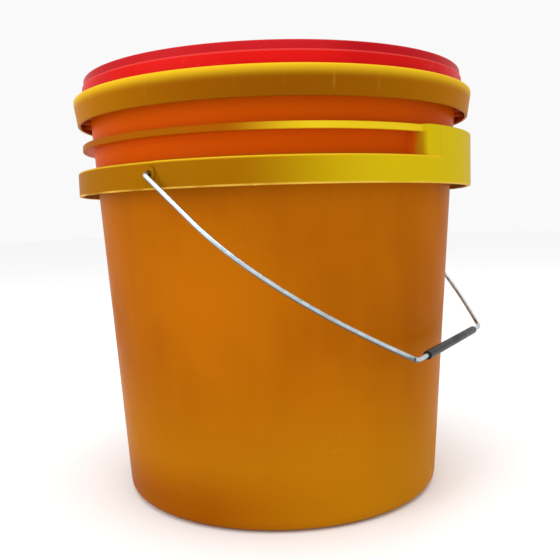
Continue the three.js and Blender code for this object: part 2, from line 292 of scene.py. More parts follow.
def rubMarks():  # sparse fine scratches and dull rubbed patches
    t = Tree(bpy.data.node_groups.new("rubMarks", "ShaderNodeTree"))
    t.socket("Scale", "NodeSocketFloat", 60.0)
    t.socket("Stretch", "NodeSocketVector", (1.0, 1.0, 6.0))
    t.socket("Amount", "NodeSocketFloat", 0.5)
    t.socket("Scratch", "NodeSocketFloat", out=True)
    t.socket("Patch", "NodeSocketFloat", out=True)
    given = t.add("NodeGroupInput").outputs
    place = t.add("ShaderNodeTexCoord").outputs["Object"]
    stretch = {0: place, 1: given["Stretch"]}
    stretched = t.add("ShaderNodeVectorMath", stretch, operation="MULTIPLY").outputs[0]
    lines = t.add("ShaderNodeTexNoise", {
        "Vector": stretched, "Scale": given["Scale"], "Detail": 4.0, "Distortion": 1.2,
    }).outputs["Fac"]
    # a scratch is where the noise crosses one thin level
    crossing = t.math("ABSOLUTE", t.math("SUBTRACT", lines, 0.5))
    thin = t.add("ShaderNodeMapRange", {
        "Value": crossing, "From Min": 0.0, "From Max": 0.006, "To Min": 1.0, "To Max": 0.0,
    }).outputs[0]
    sparse = t.noise(place, 26.0, 2.0)
    where = t.add("ShaderNodeMapRange", {
        "Value": sparse, "From Min": 0.56, "From Max": 0.68,
    }).outputs[0]
    end = t.add("NodeGroupOutput")
    t.feed(end, "Scratch", t.times(t.times(thin, where), given["Amount"]))
    t.feed(end, "Patch", t.times(where, given["Amount"]))
    return t.tree


grainGroup = mouldGrain()
rubGroup = rubMarks()


class Finish(Tree):  # a material with its Principled shader and short ways to build on it
    def __init__(self, name, roughness, **sockets):
        self.material = bpy.data.materials.new(name)
        self.material.use_nodes = True
        super().__init__(self.material.node_tree)
        self.shader = self.nodes["Principled BSDF"]
        self.shader.inputs["Roughness"].default_value = roughness
        for key, value in sockets.items():
            self.shader.inputs[key].default_value = value

    def place(self):
        return self.add("ShaderNodeTexCoord").outputs["Object"]

    def grouped(self, tree, values):
        node = self.nodes.new("ShaderNodeGroup")
        node.node_tree = tree
        for key, value in values.items():
            self.feed(node, key, value)
        return node

    def ramp(self, value, low, high, toLow=0.0, toHigh=1.0):
        return self.add("ShaderNodeMapRange", {
            "Value": value, "From Min": low, "From Max": high, "To Min": toLow, "To Max": toHigh,
        }, interpolation_type="SMOOTHSTEP").outputs[0]

    def mix(self, share, a, b):  # of two colours, each a socket or red, green and blue
        node = self.add("ShaderNodeMix", data_type="RGBA")
        self.feed(node, 0, share)
        for key, colour in ((6, a), (7, b)):
            plain = isinstance(colour, tuple)
            self.feed(node, key, (*colour, 1) if plain else colour)
        return node.outputs[2]

    def bump(self, height, strength, distance):
        node = self.add("ShaderNodeBump", {"Height": height, "Strength": strength, "Distance": distance})
        self.feed(self.shader, "Normal", node.outputs[0])


def yellowPlastic(look):
    f = Finish("yellowMouldedPlastic", look["roughness"], **look["sockets"])
    place = f.place()
    axes = f.add("ShaderNodeSeparateXYZ", {0: place}).outputs
    height = axes[2]

    def zone(name, *ends):  # climbs over a stretch of heights, from 0 to 1 or between the ends given
        start, low, high = look["zones"][name]
        return f.ramp(height, (start + low) * mm, (start + high) * mm, *ends)

    flat = f.add("ShaderNodeCombineXYZ", {"X": axes[0], "Y": axes[1]}).outputs[0]
    radius = f.add("ShaderNodeVectorMath", {0: flat}, operation="LENGTH").outputs["Value"]
    wallRadius = f.math("MULTIPLY_ADD", height, pail["wallLean"], pail["baseRadius"] * mm)
    overhang = f.math("SUBTRACT", radius, wallRadius)
    onBand = f.ramp(overhang, look["bandFrom"] * mm, look["bandTo"] * mm)
    # painted light: the hollow bands are painted yellower where light would soak into them, most between
    # an ear and the next plate
    around = f.math("ARCTAN2", f.times(axes[1], -1.0), f.times(axes[0], -1.0))
    twiceAround = f.math("MULTIPLY_ADD", around, 2.0, -math.radians(look["glowPhase"]))
    wave = f.math("SINE", twiceAround)
    paintedGlow = f.ramp(wave, look["glowFrom"], look["glowTo"])
    bandColour = f.mix(paintedGlow, look["bandDull"], look["bandPaintedLit"])
    # the rib is painted lighter the same way, as painted light
    ribPaintedGlow = f.ramp(wave, look["ribFrom"], look["ribTo"])
    ribEdge = ((ribRadius + past) * mm for past in look["pastRib"])
    onRib = f.times(zone("rib"), f.ramp(radius, *ribEdge, 1.0, 0.0))
    bandColour = f.mix(onRib, bandColour, f.mix(ribPaintedGlow, look["ribDull"], look["ribPaintedLit"]))
    # painted light: the collar's face is painted lighter towards both sides
    paintedSideLight = f.math("MULTIPLY_ADD", f.math("COSINE", twiceAround), -0.5, 0.5)
    face = f.mix(paintedSideLight, look["collarFace"], look["collarSideLit"])
    # faint lighter streaks over the gussets behind, as painted light showing through the collar
    turns = f.times(around, pail["gussets"] / math.tau)
    offMark = f.math("ABSOLUTE", f.math("SUBTRACT", turns, f.math("ROUND", turns)))
    mark = f.times(f.ramp(offMark, 0.0, look["markWidth"], 1.0, 0.0), zone("gussetLightStreaks"))
    mark = f.times(mark, f.ramp(f.noise(place, look["markScale"], 2.0), 0.42, 0.66))
    face = f.mix(f.times(mark, look["markStrength"]), face, look["gussetLightStreak"])
    bandColour = f.mix(zone("collar"), bandColour, face)
    # the plates run straight down past the band's top edge, and the ramps beside them lie deeper
    plateEnd = -math.cos(math.radians(2 * pail["plateHalf"]))
    onPlate = f.math("LESS_THAN", f.math("COSINE", f.times(around, 2.0)), plateEnd)
    besidePlate = f.math("SUBTRACT", 1.0, onPlate)
    onRamp = f.times(besidePlate, f.times(zone("rampFoot"), zone("rampTop", 1.0, 0.0)))
    rampDepth = ((plateRadius - behind) * mm for behind in look["behindPlate"])
    onRamp = f.times(onRamp, f.ramp(radius, *rampDepth, 1.0, 0.0))
    bandColour = f.mix(onRamp, bandColour, look["ramp"])
    # edges where the plastic is thin and catches the light from above
    collarEdge = f.math("POWER", zone("collarEdge"), look["edgePower"])
    skirtEdge = f.times(zone("skirtEdge"), zone("skirtTop", 1.0, 0.0))
    edges = f.math("ADD", collarEdge, f.times(skirtEdge, besidePlate), clamp=True)
    bandColour = f.mix(edges, bandColour, look["edge"])
    # a painted highlight along the skirt's lower edge, broken up by noise
    lowEdgeHighlight = f.times(zone("lowEdgeHighlight", 1.0, 0.0), zone("lowEdgeHighlightFoot"))
    lowEdgeHighlight = f.times(lowEdgeHighlight, f.ramp(f.noise(place, look["breakScale"]), 0.35, 0.62, 0.15, 0.8))
    bandColour = f.mix(lowEdgeHighlight, bandColour, look["lowEdgeHighlight"])
    # the wall: slow clouds, upright flow lines, and a lower part with painted shade at the foot and
    # painted light towards -Y
    flow = f.add("ShaderNodeVectorMath", {0: place, 1: look["flow"]}, operation="MULTIPLY").outputs[0]
    cloud = f.ramp(f.noise(place, look["cloudScale"]), 0.3, 0.7)
    streaks = f.ramp(f.noise(flow, look["streakScale"]), 0.35, 0.75, 0.0, look["streaks"])
    wall = f.mix(cloud, look["wallDeep"], look["wallLight"])
    wall = f.mix(streaks, wall, look["wallLight"])
    # painted shade: darker at the foot; painted light: lighter towards -Y
    foot = f.mix(zone("foot"), look["wallLowShaded"], look["wallLow"])
    lightAcross = f.ramp(axes[1], look["lowFrom"] * mm, look["lowTo"] * mm)
    paintedLowLight = f.mix(lightAcross, look["wallLowLit"], foot)
    wall = f.mix(zone("paintedLowLight", look["paintedLowLight"], 0.0), wall, paintedLowLight)
    groove = f.times(zone("groove"), zone("grooveTop", 1.0, 0.0))
    wall = f.mix(groove, wall, look["groove"])
    colour = f.mix(onBand, wall, bandColour)
    rub = f.grouped(rubGroup, {"Scale": 34.0, "Stretch": (1.0, 1.0, 3.0), "Amount": 1.0}).outputs
    scratched = f.times(rub["Scratch"], zone("scratched", 1.0, look["scratchedHigh"]))
    colour = f.mix(f.times(scratched, look["scratch"]), colour, look["scratchColour"])
    f.feed(f.shader, "Base Color", colour)
    dull = f.times(rub["Patch"], look["patchRoughness"])
    f.feed(f.shader, "Roughness", f.math("ADD", dull, look["roughness"]))
    grain = f.grouped(grainGroup, {"Scale": 520.0, "Waviness": 6.0}).outputs[0]
    grain = f.math("SUBTRACT", grain, f.times(scratched, look["scratchDepth"]))
    f.bump(grain, look["bump"], look["bumpDistance"])
    return f.material


def redPlastic(look):
    f = Finish("redMouldedPlastic", look["roughness"], **look["sockets"])
    place = f.place()
    height = f.add("ShaderNodeSeparateXYZ", {0: place}).outputs[2]
    split = look["split"]

    def fromSplit(low, high, *ends):
        return f.ramp(height, (split + low) * mm, (split + high) * mm, *ends)

    cloud = f.ramp(f.noise(place, look["cloudScale"]), 0.3, 0.7)
    # painted shade and light: the upper band a darker red, the lower a lighter red as if lit through the
    # plastic
    upper = f.mix(cloud, look["upperShadedDeep"], look["upperShadedLight"])
    lower = f.mix(cloud, look["lowerLitDeep"], look["lowerLitLight"])
    colour = f.mix(fromSplit(*look["blend"]), lower, upper)
    # a painted highlight along the lip where the two reds meet
    lipHighlight = f.times(fromSplit(*look["lipFoot"]), fromSplit(*look["lipTop"], 1.0, 0.0))
    colour = f.mix(f.times(lipHighlight, look["lipStrength"]), colour, look["lipHighlight"])
    rub = f.grouped(rubGroup, {"Scale": 40.0, "Stretch": (1.0, 1.0, 1.0), "Amount": 1.0}).outputs
    colour = f.mix(f.times(rub["Scratch"], look["scratch"]), colour, look["scratchColour"])
    f.feed(f.shader, "Base Color", colour)
    dull = f.times(rub["Patch"], look["patchRoughness"])
    f.feed(f.shader, "Roughness", f.math("ADD", dull, look["roughness"]))
    grain = f.grouped(grainGroup, {"Scale": 480.0, "Waviness": 4.0}).outputs[0]
    f.bump(grain, look["bump"], look["bumpDistance"])
    return f.material


def wireZinc(look):
    f = Finish("galvanisedWire", look["roughness"], Metallic=1.0)
    cells = {"Vector": f.place(), "Scale": look["spangleScale"]}
    spangle = f.add("ShaderNodeTexVoronoi", cells).outputs["Color"]
    tone = f.add("ShaderNodeSeparateColor", {0: spangle}).outputs[0]
    colour = f.mix(tone, look["dark"], look["light"])
    # painted shade: the underside is painted dark, as it sees only the floor
    normal = f.add("ShaderNodeTexCoord").outputs["Normal"]
    upward = f.add("ShaderNodeSeparateXYZ", {0: normal}).outputs[2]
    colour = f.mix(f.ramp(upward, -0.75, 0.25, 1.0, 0.0), colour, look["under"])
    rub = f.grouped(rubGroup, {"Scale": 120.0, "Stretch": (1.0, 1.0, 1.0), "Amount": 1.0}).outputs
    colour = f.mix(f.times(rub["Patch"], look["stainStrength"]), colour, look["stain"])
    f.feed(f.shader, "Base Color", colour)
    roughness = f.math("MULTIPLY_ADD", tone, look["spangleRoughness"], look["roughness"])
    f.feed(f.shader, "Roughness", roughness)
    grain = f.grouped(grainGroup, {"Scale": 900.0, "Waviness": 1.0}).outputs[0]
    f.bump(grain, look["bump"], look["bumpDistance"])
    return f.material


def sleevePlastic(look):
    f = Finish("blackSleeve", look["roughness"], **look["sockets"])
    rub = f.grouped(rubGroup, {"Scale": 90.0, "Stretch": (3.0, 1.0, 1.0), "Amount": 1.0}).outputs
    colour = f.mix(f.times(rub["Patch"], look["rubStrength"]), look["deep"], look["rubbed"])
    f.feed(f.shader, "Base Color", colour)
    roughness = f.math("MULTIPLY_ADD", rub["Patch"], look["patchRoughness"], look["roughness"])
    f.feed(f.shader, "Roughness", roughness)
    grain = f.grouped(grainGroup, {"Scale": 1100.0, "Waviness": 0.5}).outputs[0]
    f.bump(grain, look["bump"], look["bumpDistance"])
    return f.material


def sealRubber(look):
    f = Finish("sealRubber", look["roughness"])
    cloud = f.noise(f.place(), look["cloudScale"])
    f.feed(f.shader, "Base Color", f.mix(cloud, look["deep"], look["light"]))
    grain = f.grouped(grainGroup, {"Scale": 700.0, "Waviness": 0.5}).outputs[0]
    f.bump(grain, look["bump"], look["bumpDistance"])
    return f.material


# The pail

pail = {
    "baseRadius": 107.5, "wallLean": 0.0623, "wall": 1.8, "base": 2.4,
    "footCorner": 8, "footRing": 7, "footRecess": 1.6,
    "skirtLow": 199, "skirtHigh": 214.4, "skirtOverhang": 11.6, "lowRound": 0.4, "topRound": 1.5,
    "proudStep": 1.2, "proudTop": 1.6, "proudBottom": 4.6, "bandJoin": 0.2,
    "ribLow": 228, "ribHigh": 232, "ribOverhang": 6.9,
    "collarLow": 244.4, "collarHigh": 260.8, "collarOverhang": 10, "collarTaper": 2.5, "flange": 2,
    "rimHigh": 270.6, "rimStep": 1.6, "beadWidth": 1.4, "beadHeight": 3.8,
    "gussets": 32, "gussetThick": 1.3, "gussetSetback": 2,
    "plateHalf": 13.2, "plateRamp": 8.6, "plateShoulder": 4.2, "plateSink": 0.4, "shoulderSink": 0.12,
    "earDrop": 6.9, "bossRadius": 4.5, "bossHigh": 0.8, "bossEdge": 0.5,
    "backRadius": 5.2, "backDeep": 1.5, "hole": 1.95, "holeFlare": 0.3,
    "segments": 288, "bandSteps": 64, "plateSteps": 24, "rampSteps": 160,
}

pailLook = {
    "roughness": 0.32, "sockets": {"IOR": 1.05},
    "wallDeep": (0.34, 0.088, 0.0012), "wallLight": (0.44, 0.122, 0.0018),
    # the low wall's colours: darker at the foot as painted shade, lighter towards -Y as painted light
    "wallLow": (0.42, 0.155, 0.0022), "wallLowShaded": (0.28, 0.070, 0.0006),
    "wallLowLit": (0.48, 0.192, 0.0026), "groove": (0.58, 0.080, 0.0010),
    # the bands' and the rib's lighter colours are painted light, as if lit through the plastic
    "bandDull": (0.30, 0.112, 0.0008), "bandPaintedLit": (0.55, 0.40, 0.004),
    "ribDull": (0.31, 0.082, 0.0008), "ribPaintedLit": (0.70, 0.50, 0.012),
    # the collar's face colour, and a lighter colour for its sides as painted light
    "collarFace": (0.235, 0.070, 0.0006), "collarSideLit": (0.42, 0.155, 0.0015),
    # painted highlights along the bands' edges
    "edge": (0.68, 0.42, 0.012), "lowEdgeHighlight": (0.75, 0.45, 0.06), "ramp": (0.40, 0.19, 0.003),
    # a lighter colour for the streaks over the gussets, as painted light
    "gussetLightStreak": (0.52, 0.26, 0.02), "scratchColour": (0.75, 0.42, 0.12),
    # where each tint comes or goes: one of the pail's heights, and the stretch counted from it
    "zones": {
        "foot": (0, 12, 45), "paintedLowLight": (0, 0, 120), "scratched": (0, 20, 160),
        "lowEdgeHighlightFoot": (pail["skirtLow"], -1.0, -0.5), "lowEdgeHighlight": (pail["skirtLow"], 0.5, 1.3),
        "skirtEdge": (pail["skirtHigh"], -1.6, -0.2), "skirtTop": (pail["skirtHigh"], 0.1, 0.3),
        "groove": (pail["skirtHigh"], 0.6, 2.6), "grooveTop": (pail["collarHigh"], -0.8, 1.2),
        "rampFoot": (pail["skirtHigh"], -0.1, 0.2), "rampTop": (pail["ribLow"], -0.2, 0.0),
        "rib": (pail["ribLow"], -1.0, -0.5), "collar": (pail["collarLow"], -1.9, 0.1),
        "gussetLightStreaks": (pail["collarLow"], 1.1, 7.6), "collarEdge": (pail["collarHigh"], -8.3, -0.8),
    },
    # the same for radii, in mm past the wall, past the rib and behind the plates' faces
    "bandFrom": 3, "bandTo": 7.5, "pastRib": (0.65, 1.15), "behindPlate": (4.26, 0.46),
    # and for Y, in mm across the low wall's painted light
    "lowFrom": -100, "lowTo": 0,
    # the painted glow's phase in degrees, and shares, strengths and scales
    "paintedLowLight": 0.8, "glowPhase": 60, "glowFrom": -0.35, "glowTo": 1.0,
    "ribFrom": -0.42, "ribTo": 0.4, "edgePower": 1.6,
    "markWidth": 0.045, "markScale": 22.0, "markStrength": 0.3,
    "breakScale": 45.0, "cloudScale": 9.0, "streakScale": 70.0, "streaks": 0.35,
    "flow": (1.0, 1.0, 0.08), "scratch": 0.18, "scratchedHigh": 0.35, "scratchDepth": 2.0,
    "patchRoughness": 0.12, "bump": 0.1, "bumpDistance": 0.0004,
}


def wallAt(height):
    return pail["baseRadius"] + pail["wallLean"] * height


skirtRadius = wallAt(pail["skirtHigh"]) + pail["skirtOverhang"]
proudRadius = skirtRadius + pail["proudStep"]
plateRadius = proudRadius - pail["plateSink"]
collarRadius = wallAt(pail["collarHigh"]) + pail["collarOverhang"]
ribRadius = wallAt(pail["ribHigh"]) + pail["ribOverhang"]
rimRadius = wallAt(pail["collarHigh"]) - pail["rimStep"]
rimInside = rimRadius - pail["wall"]
beadRadius = rimRadius + pail["beadWidth"]
earHeight = pail["skirtHigh"] - pail["earDrop"]


def pailShell():
    p = pail
    inside = p["wall"]
    ring = wallAt(p["footCorner"]) - p["footCorner"] - p["footRing"]
    floorTop = p["footRecess"] + p["base"]
    under = p["skirtHigh"] - p["flange"]
    collarUnder = p["collarHigh"] - p["flange"]
    corners = [  # radius, height and rounding, from the base's middle out, up and back inside
        (0, p["footRecess"], 0),
        (ring - p["footRecess"], p["footRecess"], 0.8),
        (ring, 0, 0.5),
        (wallAt(0), 0, p["footCorner"]),
        (wallAt(under), under, 0.8),
        (skirtRadius - inside, under, 0.6),
        (skirtRadius - inside, p["skirtLow"], 0.3),
        (skirtRadius, p["skirtLow"], p["lowRound"]),
        (skirtRadius, p["skirtHigh"], p["topRound"]),
        (wallAt(p["skirtHigh"]), p["skirtHigh"], 1.0),
        (wallAt(p["ribLow"]), p["ribLow"], 0.8),
        (ribRadius, p["ribLow"], 0.5),
        (ribRadius, p["ribHigh"], 1.0),
        (wallAt(p["ribHigh"]), p["ribHigh"], 1.0),
        (wallAt(collarUnder), collarUnder, 0.8),
        (collarRadius - inside, collarUnder, 0.6),
        (collarRadius - p["collarTaper"] - inside, p["collarLow"], 0.3),
        (collarRadius - p["collarTaper"], p["collarLow"], 0.5),
        (collarRadius, p["collarHigh"], 2.2),
        (rimRadius, p["collarHigh"], 0.6),
        (rimRadius, p["rimHigh"] - p["beadHeight"], 0.4),
        (beadRadius, p["rimHigh"] - p["beadHeight"] + p["beadWidth"], 0.5),
        (beadRadius, p["rimHigh"] - p["beadWidth"], 0.6),
        (rimRadius, p["rimHigh"], 0.5),
        (rimInside, p["rimHigh"], 0.5),
        (rimInside, p["collarHigh"], 0.6),
        (wallAt(collarUnder) - inside, collarUnder - p["rimStep"], 1.0),
        (wallAt(floorTop) - inside, floorTop, p["footCorner"] - inside),
        (0, floorTop, 0),
    ]
    bm = bmesh.new()
    fullTurn(bm, rounded(corners), p["segments"])
    return meshObject("bucketShell", bm)


def bandStretch():  # stands proud from beside an ear to the next plate, its near end slanted
    low, high = pail["skirtLow"], pail["skirtHigh"]
    inner = skirtRadius - overlap
    loop = rounded([(inner, low, 0), (proudRadius, low, pail["lowRound"]),
                    (proudRadius, high, pail["topRound"]), (inner, high, 0)])
    end = 90 - pail["plateHalf"] + pail["bandJoin"]

    def profileAt(share):
        points = []
        for point in loop:
            rise = (point.y - low) / (high - low)
            start = pail["proudBottom"] + (pail["proudTop"] - pail["proudBottom"]) * rise
            points.append((start + (end - start) * share, point.x, point.y))
        return points

    bm = bmesh.new()
    partTurn(bm, profileAt, pail["bandSteps"])
    bothSides(bm)
    return meshObject("bandStretches", bm)


# loopAt(fromMiddle) gives a closed loop of (radius, height) points, at degrees from a plate's middle
def acrossPlates(name, reach, steps, loopAt):
    def profileAt(share):
        fromMiddle = reach * (2 * share - 1)
        return [(90 + fromMiddle, radius, height) for radius, height in loopAt(fromMiddle)]

    bm = bmesh.new()
    partTurn(bm, profileAt, steps)
    bothSides(bm)
    return meshObject(name, bm)


def plateFaces():
    low, high = pail["skirtLow"], pail["ribHigh"]
    inner = plateRadius - pail["wall"]
    loop = rounded([(inner, low, 0), (plateRadius, low, pail["lowRound"]),
                    (plateRadius, high, pail["topRound"]), (inner, high, 0)])
    return acrossPlates("plateFaces", pail["plateHalf"], pail["plateSteps"], lambda fromMiddle: loop)


def plateEdge(fromMiddle):  # radius of the ramps beside a plate, and of the shoulders that they climb to
    foot = wallAt(pail["skirtHigh"]) - overlap
    crest = plateRadius - pail["shoulderSink"]
    toFoot = pail["plateHalf"] + pail["plateRamp"] - abs(fromMiddle)
    climb = min(toFoot / (pail["plateRamp"] - pail["plateShoulder"]), 1)
    return foot + (crest - foot) * climb * climb * (3 - 2 * climb)


def plateRoofs():
    high = pail["ribHigh"]
    low = high - pail["flange"]
    inner = wallAt(pail["skirtHigh"]) - overlap * 2
    setback = (pail["topRound"] + pail["wall"]) / 2

    def loopAt(fromMiddle):
        outer = max(plateEdge(fromMiddle) - setback, inner + overlap)
        return (inner, low), (outer, low), (outer, high), (inner, high)

    reach = pail["plateHalf"] + pail["plateRamp"]
    return acrossPlates("plateRoofs", reach, pail["rampSteps"], loopAt)


def plateRamps():  # thin upright strip: up one ramp, along behind the plate, down the other ramp
    low = pail["skirtHigh"] - pail["flange"]
    high = pail["ribHigh"]
    reach = pail["plateHalf"] + pail["plateRamp"]
    level = pail["plateHalf"] + pail["plateShoulder"]
    climbed = plateEdge(0) - plateEdge(reach)
    slope = math.atan2(climbed, math.radians(reach - level) * plateRadius)
    sheet = pail["wall"] / math.cos(slope)

    def loopAt(fromMiddle):
        outer = plateEdge(fromMiddle)
        inner = outer - (sheet if abs(fromMiddle) > level else pail["wall"])
        return rounded([(inner, low, 0), (outer, low, 0),
                        (outer, high, pail["topRound"]), (inner, high, 0)])

    return acrossPlates("plateRamps", reach, pail["rampSteps"], loopAt)


# a closed shell round the near ear's axis, from points given as distance out and radius
def alongAxis(bm, profile, sides=64):
    rings = []
    for out, radius in profile:
        ring = []
        for k in range(sides):
            turn = math.tau * k / sides
            aside, up = radius * math.cos(turn), radius * math.sin(turn)
            ring.append(bm.verts.new(Vector((-out, aside, earHeight + up)) * mm))
        rings.append(ring)
    for a, b in zip(rings, rings[1:]):
        for k in range(sides):
            n = (k + 1) % sides
            bm.faces.new([a[k], a[n], b[n], b[k]])
    bm.faces.new(rings[0])
    bm.faces.new(rings[-1])


def earShell(name, profile):
    bm = bmesh.new()
    alongAxis(bm, profile)
    bothSides(bm)
    return meshObject(name, bm)


def ears():
    inner = skirtRadius - pail["wall"]
    crest = skirtRadius + pail["bossHigh"]
    radius, edge = pail["bossRadius"], pail["bossEdge"]
    boss = [(inner + overlap / 2, radius), (crest - edge * 0.8, radius),
            (crest - edge * 0.2, radius - edge * 0.3), (crest, radius - edge)]
    back = [(inner - pail["backDeep"], pail["backRadius"]), (skirtRadius - overlap, pail["backRadius"])]
    # the drill runs clear of both ends and opens a little at the front
    hole, flare = pail["hole"], pail["holeFlare"]
    drill = [(inner - pail["backDeep"] - 1, hole), (crest - flare, hole),
             (crest + 0.05, hole + flare), (crest + 2, hole + flare)]
    return earShell("earBosses", boss), earShell("earBacks", back), earShell("earHoles", drill)


def gussetRing(name, low, high, outerLow, outerHigh, least, most):
    return grown(meshObject(name, bmesh.new()), gussetNodes, {
        "Count": pail["gussets"], "Thickness": pail["gussetThick"] * mm,
        "Low": low * mm, "High": high * mm,
        "Inner Low": (wallAt(low) - overlap) * mm, "Inner High": (wallAt(high) - overlap) * mm,
        "Outer Low": (outerLow - pail["wall"] + overlap) * mm,
        "Outer High": (outerHigh - pail["wall"] + overlap) * mm,
        "Least From Plate": least, "Most From Plate": most,
    })


gussetNodes = gussetTree()


def gussets():  # the last two values of each ring are the degrees from a plate where it starts and stops
    p = pail
    sunk = p["flange"] / 2
    collarBottom = p["collarLow"] + p["gussetSetback"]
    taper = p["collarTaper"] / (p["collarHigh"] - p["collarLow"])
    reach = collarRadius - taper * (p["collarHigh"] - collarBottom)
    skirtBottom = p["skirtLow"] + p["gussetSetback"]
    collar = (collarBottom, p["collarHigh"] - sunk)
    skirt = (skirtBottom, p["skirtHigh"] - sunk)
    plate = (skirtBottom, p["ribHigh"] - sunk)
    half = p["plateHalf"]
    return [
        gussetRing("collarGussets", *collar, reach, collarRadius, -1.0, 91.0),
        gussetRing("skirtGussets", *skirt, skirtRadius, skirtRadius, half, 89.0),
        gussetRing("plateGussets", *plate, plateRadius, plateRadius, -1.0, half),
    ]


def buildPail():
    body = pailShell()
    boss, back, hole = ears()
    carve(body, [bandStretch(), plateFaces(), plateRamps(), plateRoofs()], "UNION")
    carve(body, gussets() + [boss, back], "UNION")
    carve(body, [hole], "DIFFERENCE")
    body.data.materials.clear()
    body.data.materials.append(yellowPlastic(pailLook))
    smoothed(body)
    body.name = "pailBody"
    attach(body, "bucket")
    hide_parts("bucket_body")
    print("pail built", len(body.data.polygons))


buildPail()


# The lid

lid = {
    "clearance": 1.2, "skirt": 1.7, "seat": 0.5, "bandHeight": 7.4, "bandStep": 1.0,
    "rise": 3.4, "ridge": 1.6, "plugClearance": 0.6, "plugDepth": 9.5, "panelDrop": 7.6, "wall": 1.8,
    "stack": 92, "stackWidth": 4, "stackHigh": 1.4,
}

lidLook = {
    "roughness": 0.36, "sockets": {"IOR": 1.13},
    "upperShadedDeep": (0.40, 0.004, 0.007), "upperShadedLight": (0.48, 0.010, 0.014),
    # a lighter red for the lower band, as painted light
    "lowerLitDeep": (0.53, 0.004, 0.003), "lowerLitLight": (0.64, 0.007, 0.005),
    # the height where the two reds meet, and the stretches counted from it
    "split": pail["collarHigh"] + lid["seat"] + lid["bandHeight"],
    "blend": (-0.3, 0.3), "lipFoot": (-1.2, -0.4), "lipTop": (0.1, 0.6),
    # a painted highlight for the lip where the reds meet
    "lipHighlight": (0.80, 0.10, 0.09), "lipStrength": 0.35, "cloudScale": 14.0,
    "scratch": 0.15, "scratchColour": (0.8, 0.3, 0.3),
    "patchRoughness": 0.12, "bump": 0.12, "bumpDistance": 0.0004,
}


def buildLid():
    inside = beadRadius + lid["clearance"]
    edge = inside + lid["skirt"]
    band = edge + lid["bandStep"]
    low = pail["collarHigh"] + lid["seat"]
    top = pail["rimHigh"] + lid["rise"]
    plugOut = rimInside - lid["plugClearance"]
    plugIn = plugOut - lid["wall"]
    panel = top - lid["panelDrop"]
    stackOut = lid["stack"] + lid["stackWidth"] / 2
    stackIn = lid["stack"] - lid["stackWidth"] / 2
    corners = [  # from the panel's underside out to the band, up over the ridge and back in
        (0, panel - lid["wall"], 0),
        (plugIn, panel - lid["wall"], 0.5),
        (plugIn, pail["rimHigh"] - lid["plugDepth"], 0.4),
        (plugOut, pail["rimHigh"] - lid["plugDepth"], 0.5),
        (plugOut, top - lid["wall"], 0.5),
        (inside, top - lid["wall"], 0.5),
        (inside, low, 0.3),
        (band, low, 0.5),
        (band, low + lid["bandHeight"], 0.45),
        (edge, low + lid["bandHeight"], 0.3),
        (edge, top, lid["ridge"]),
        (plugIn, top, lid["ridge"]),
        (plugIn, panel, 0.8),
        (stackOut + lid["stackHigh"], panel, 0.6),
        (stackOut, panel + lid["stackHigh"], 0.6),
        (stackIn, panel + lid["stackHigh"], 0.6),
        (stackIn - lid["stackHigh"], panel, 0.6),
        (0, panel, 0),
    ]
    bm = bmesh.new()
    fullTurn(bm, rounded(corners), pail["segments"])
    cover = meshObject("lidCover", bm)
    cover.data.materials.append(redPlastic(lidLook))
    smoothed(cover)
    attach(cover, "lid")
    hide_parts("lid")
    print("lid built", len(cover.data.polygons))


buildLid()


# The seal in the lid's channel keeps its solid

sealLook = {
    "roughness": 0.8, "deep": (0.62, 0.60, 0.54), "light": (0.76, 0.74, 0.68),
    "cloudScale": 60.0, "bump": 0.2, "bumpDistance": 0.0002,
}
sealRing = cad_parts["lid_seal_ring"]
sealRing.data.materials.clear()
sealRing.data.materials.append(sealRubber(sealLook))
print("seal painted")


# The bail and its sleeve

bail = {
    "wire": 1.4, "side": 1.8, "reach": 164.5, "stretch": 122, "leg": 42, "slant": 47.5, "bend": 7,
    "hookOuter": 3, "hookInner": 2.2, "passage": 7.5, "tail": 1.5, "standoff": 9.5,
    "sides": 24, "legSteps": 40,
}

wireLook = {
    "roughness": 0.3, "dark": (0.46, 0.53, 0.56), "light": (0.62, 0.70, 0.73),
    # a dark colour for the wire's underside, as painted shade
    "under": (0.13, 0.15, 0.17), "stain": (0.30, 0.31, 0.30), "stainStrength": 0.35,
    "spangleScale": 420.0, "spangleRoughness": 0.12, "bump": 0.2, "bumpDistance": 0.0001,
}

sleeve = {"length": 95, "radius": 2.6, "edge": 0.4, "boreEdge": 0.1, "play": 0.3, "sides": 48}

sleeveLook = {
    "roughness": 0.38, "sockets": {"IOR": 1.3},
    "deep": (0.006, 0.006, 0.007), "rubbed": (0.016, 0.016, 0.018), "rubStrength": 0.5,
    "patchRoughness": 0.15, "bump": 0.25, "bumpDistance": 0.0002,
}


def restAngle():
    lean = math.atan(pail["wallLean"])
    clear = wallAt(earHeight) + sleeve["radius"] + bail["standoff"]
    return math.asin(clear * math.cos(lean) / bail["reach"]) - lean


def inBailPlane(across, down, off=0.0):  # a point of the bail's own plane as it hangs at rest, in metres
    swing = restAngle()
    y = -down * math.sin(swing) - off * math.cos(swing)
    z = earHeight - down * math.cos(swing) + off * math.sin(swing)
    return Vector((across, y, z)) * mm


def arcPoints(cx, cy, radius, fromAngle, toAngle, steps=10):
    points = []
    for k in range(steps + 1):
        angle = math.radians(fromAngle + (toAngle - fromAngle) * k / steps)
        points.append((cx + radius * math.cos(angle), cy + radius * math.sin(angle)))
    return points


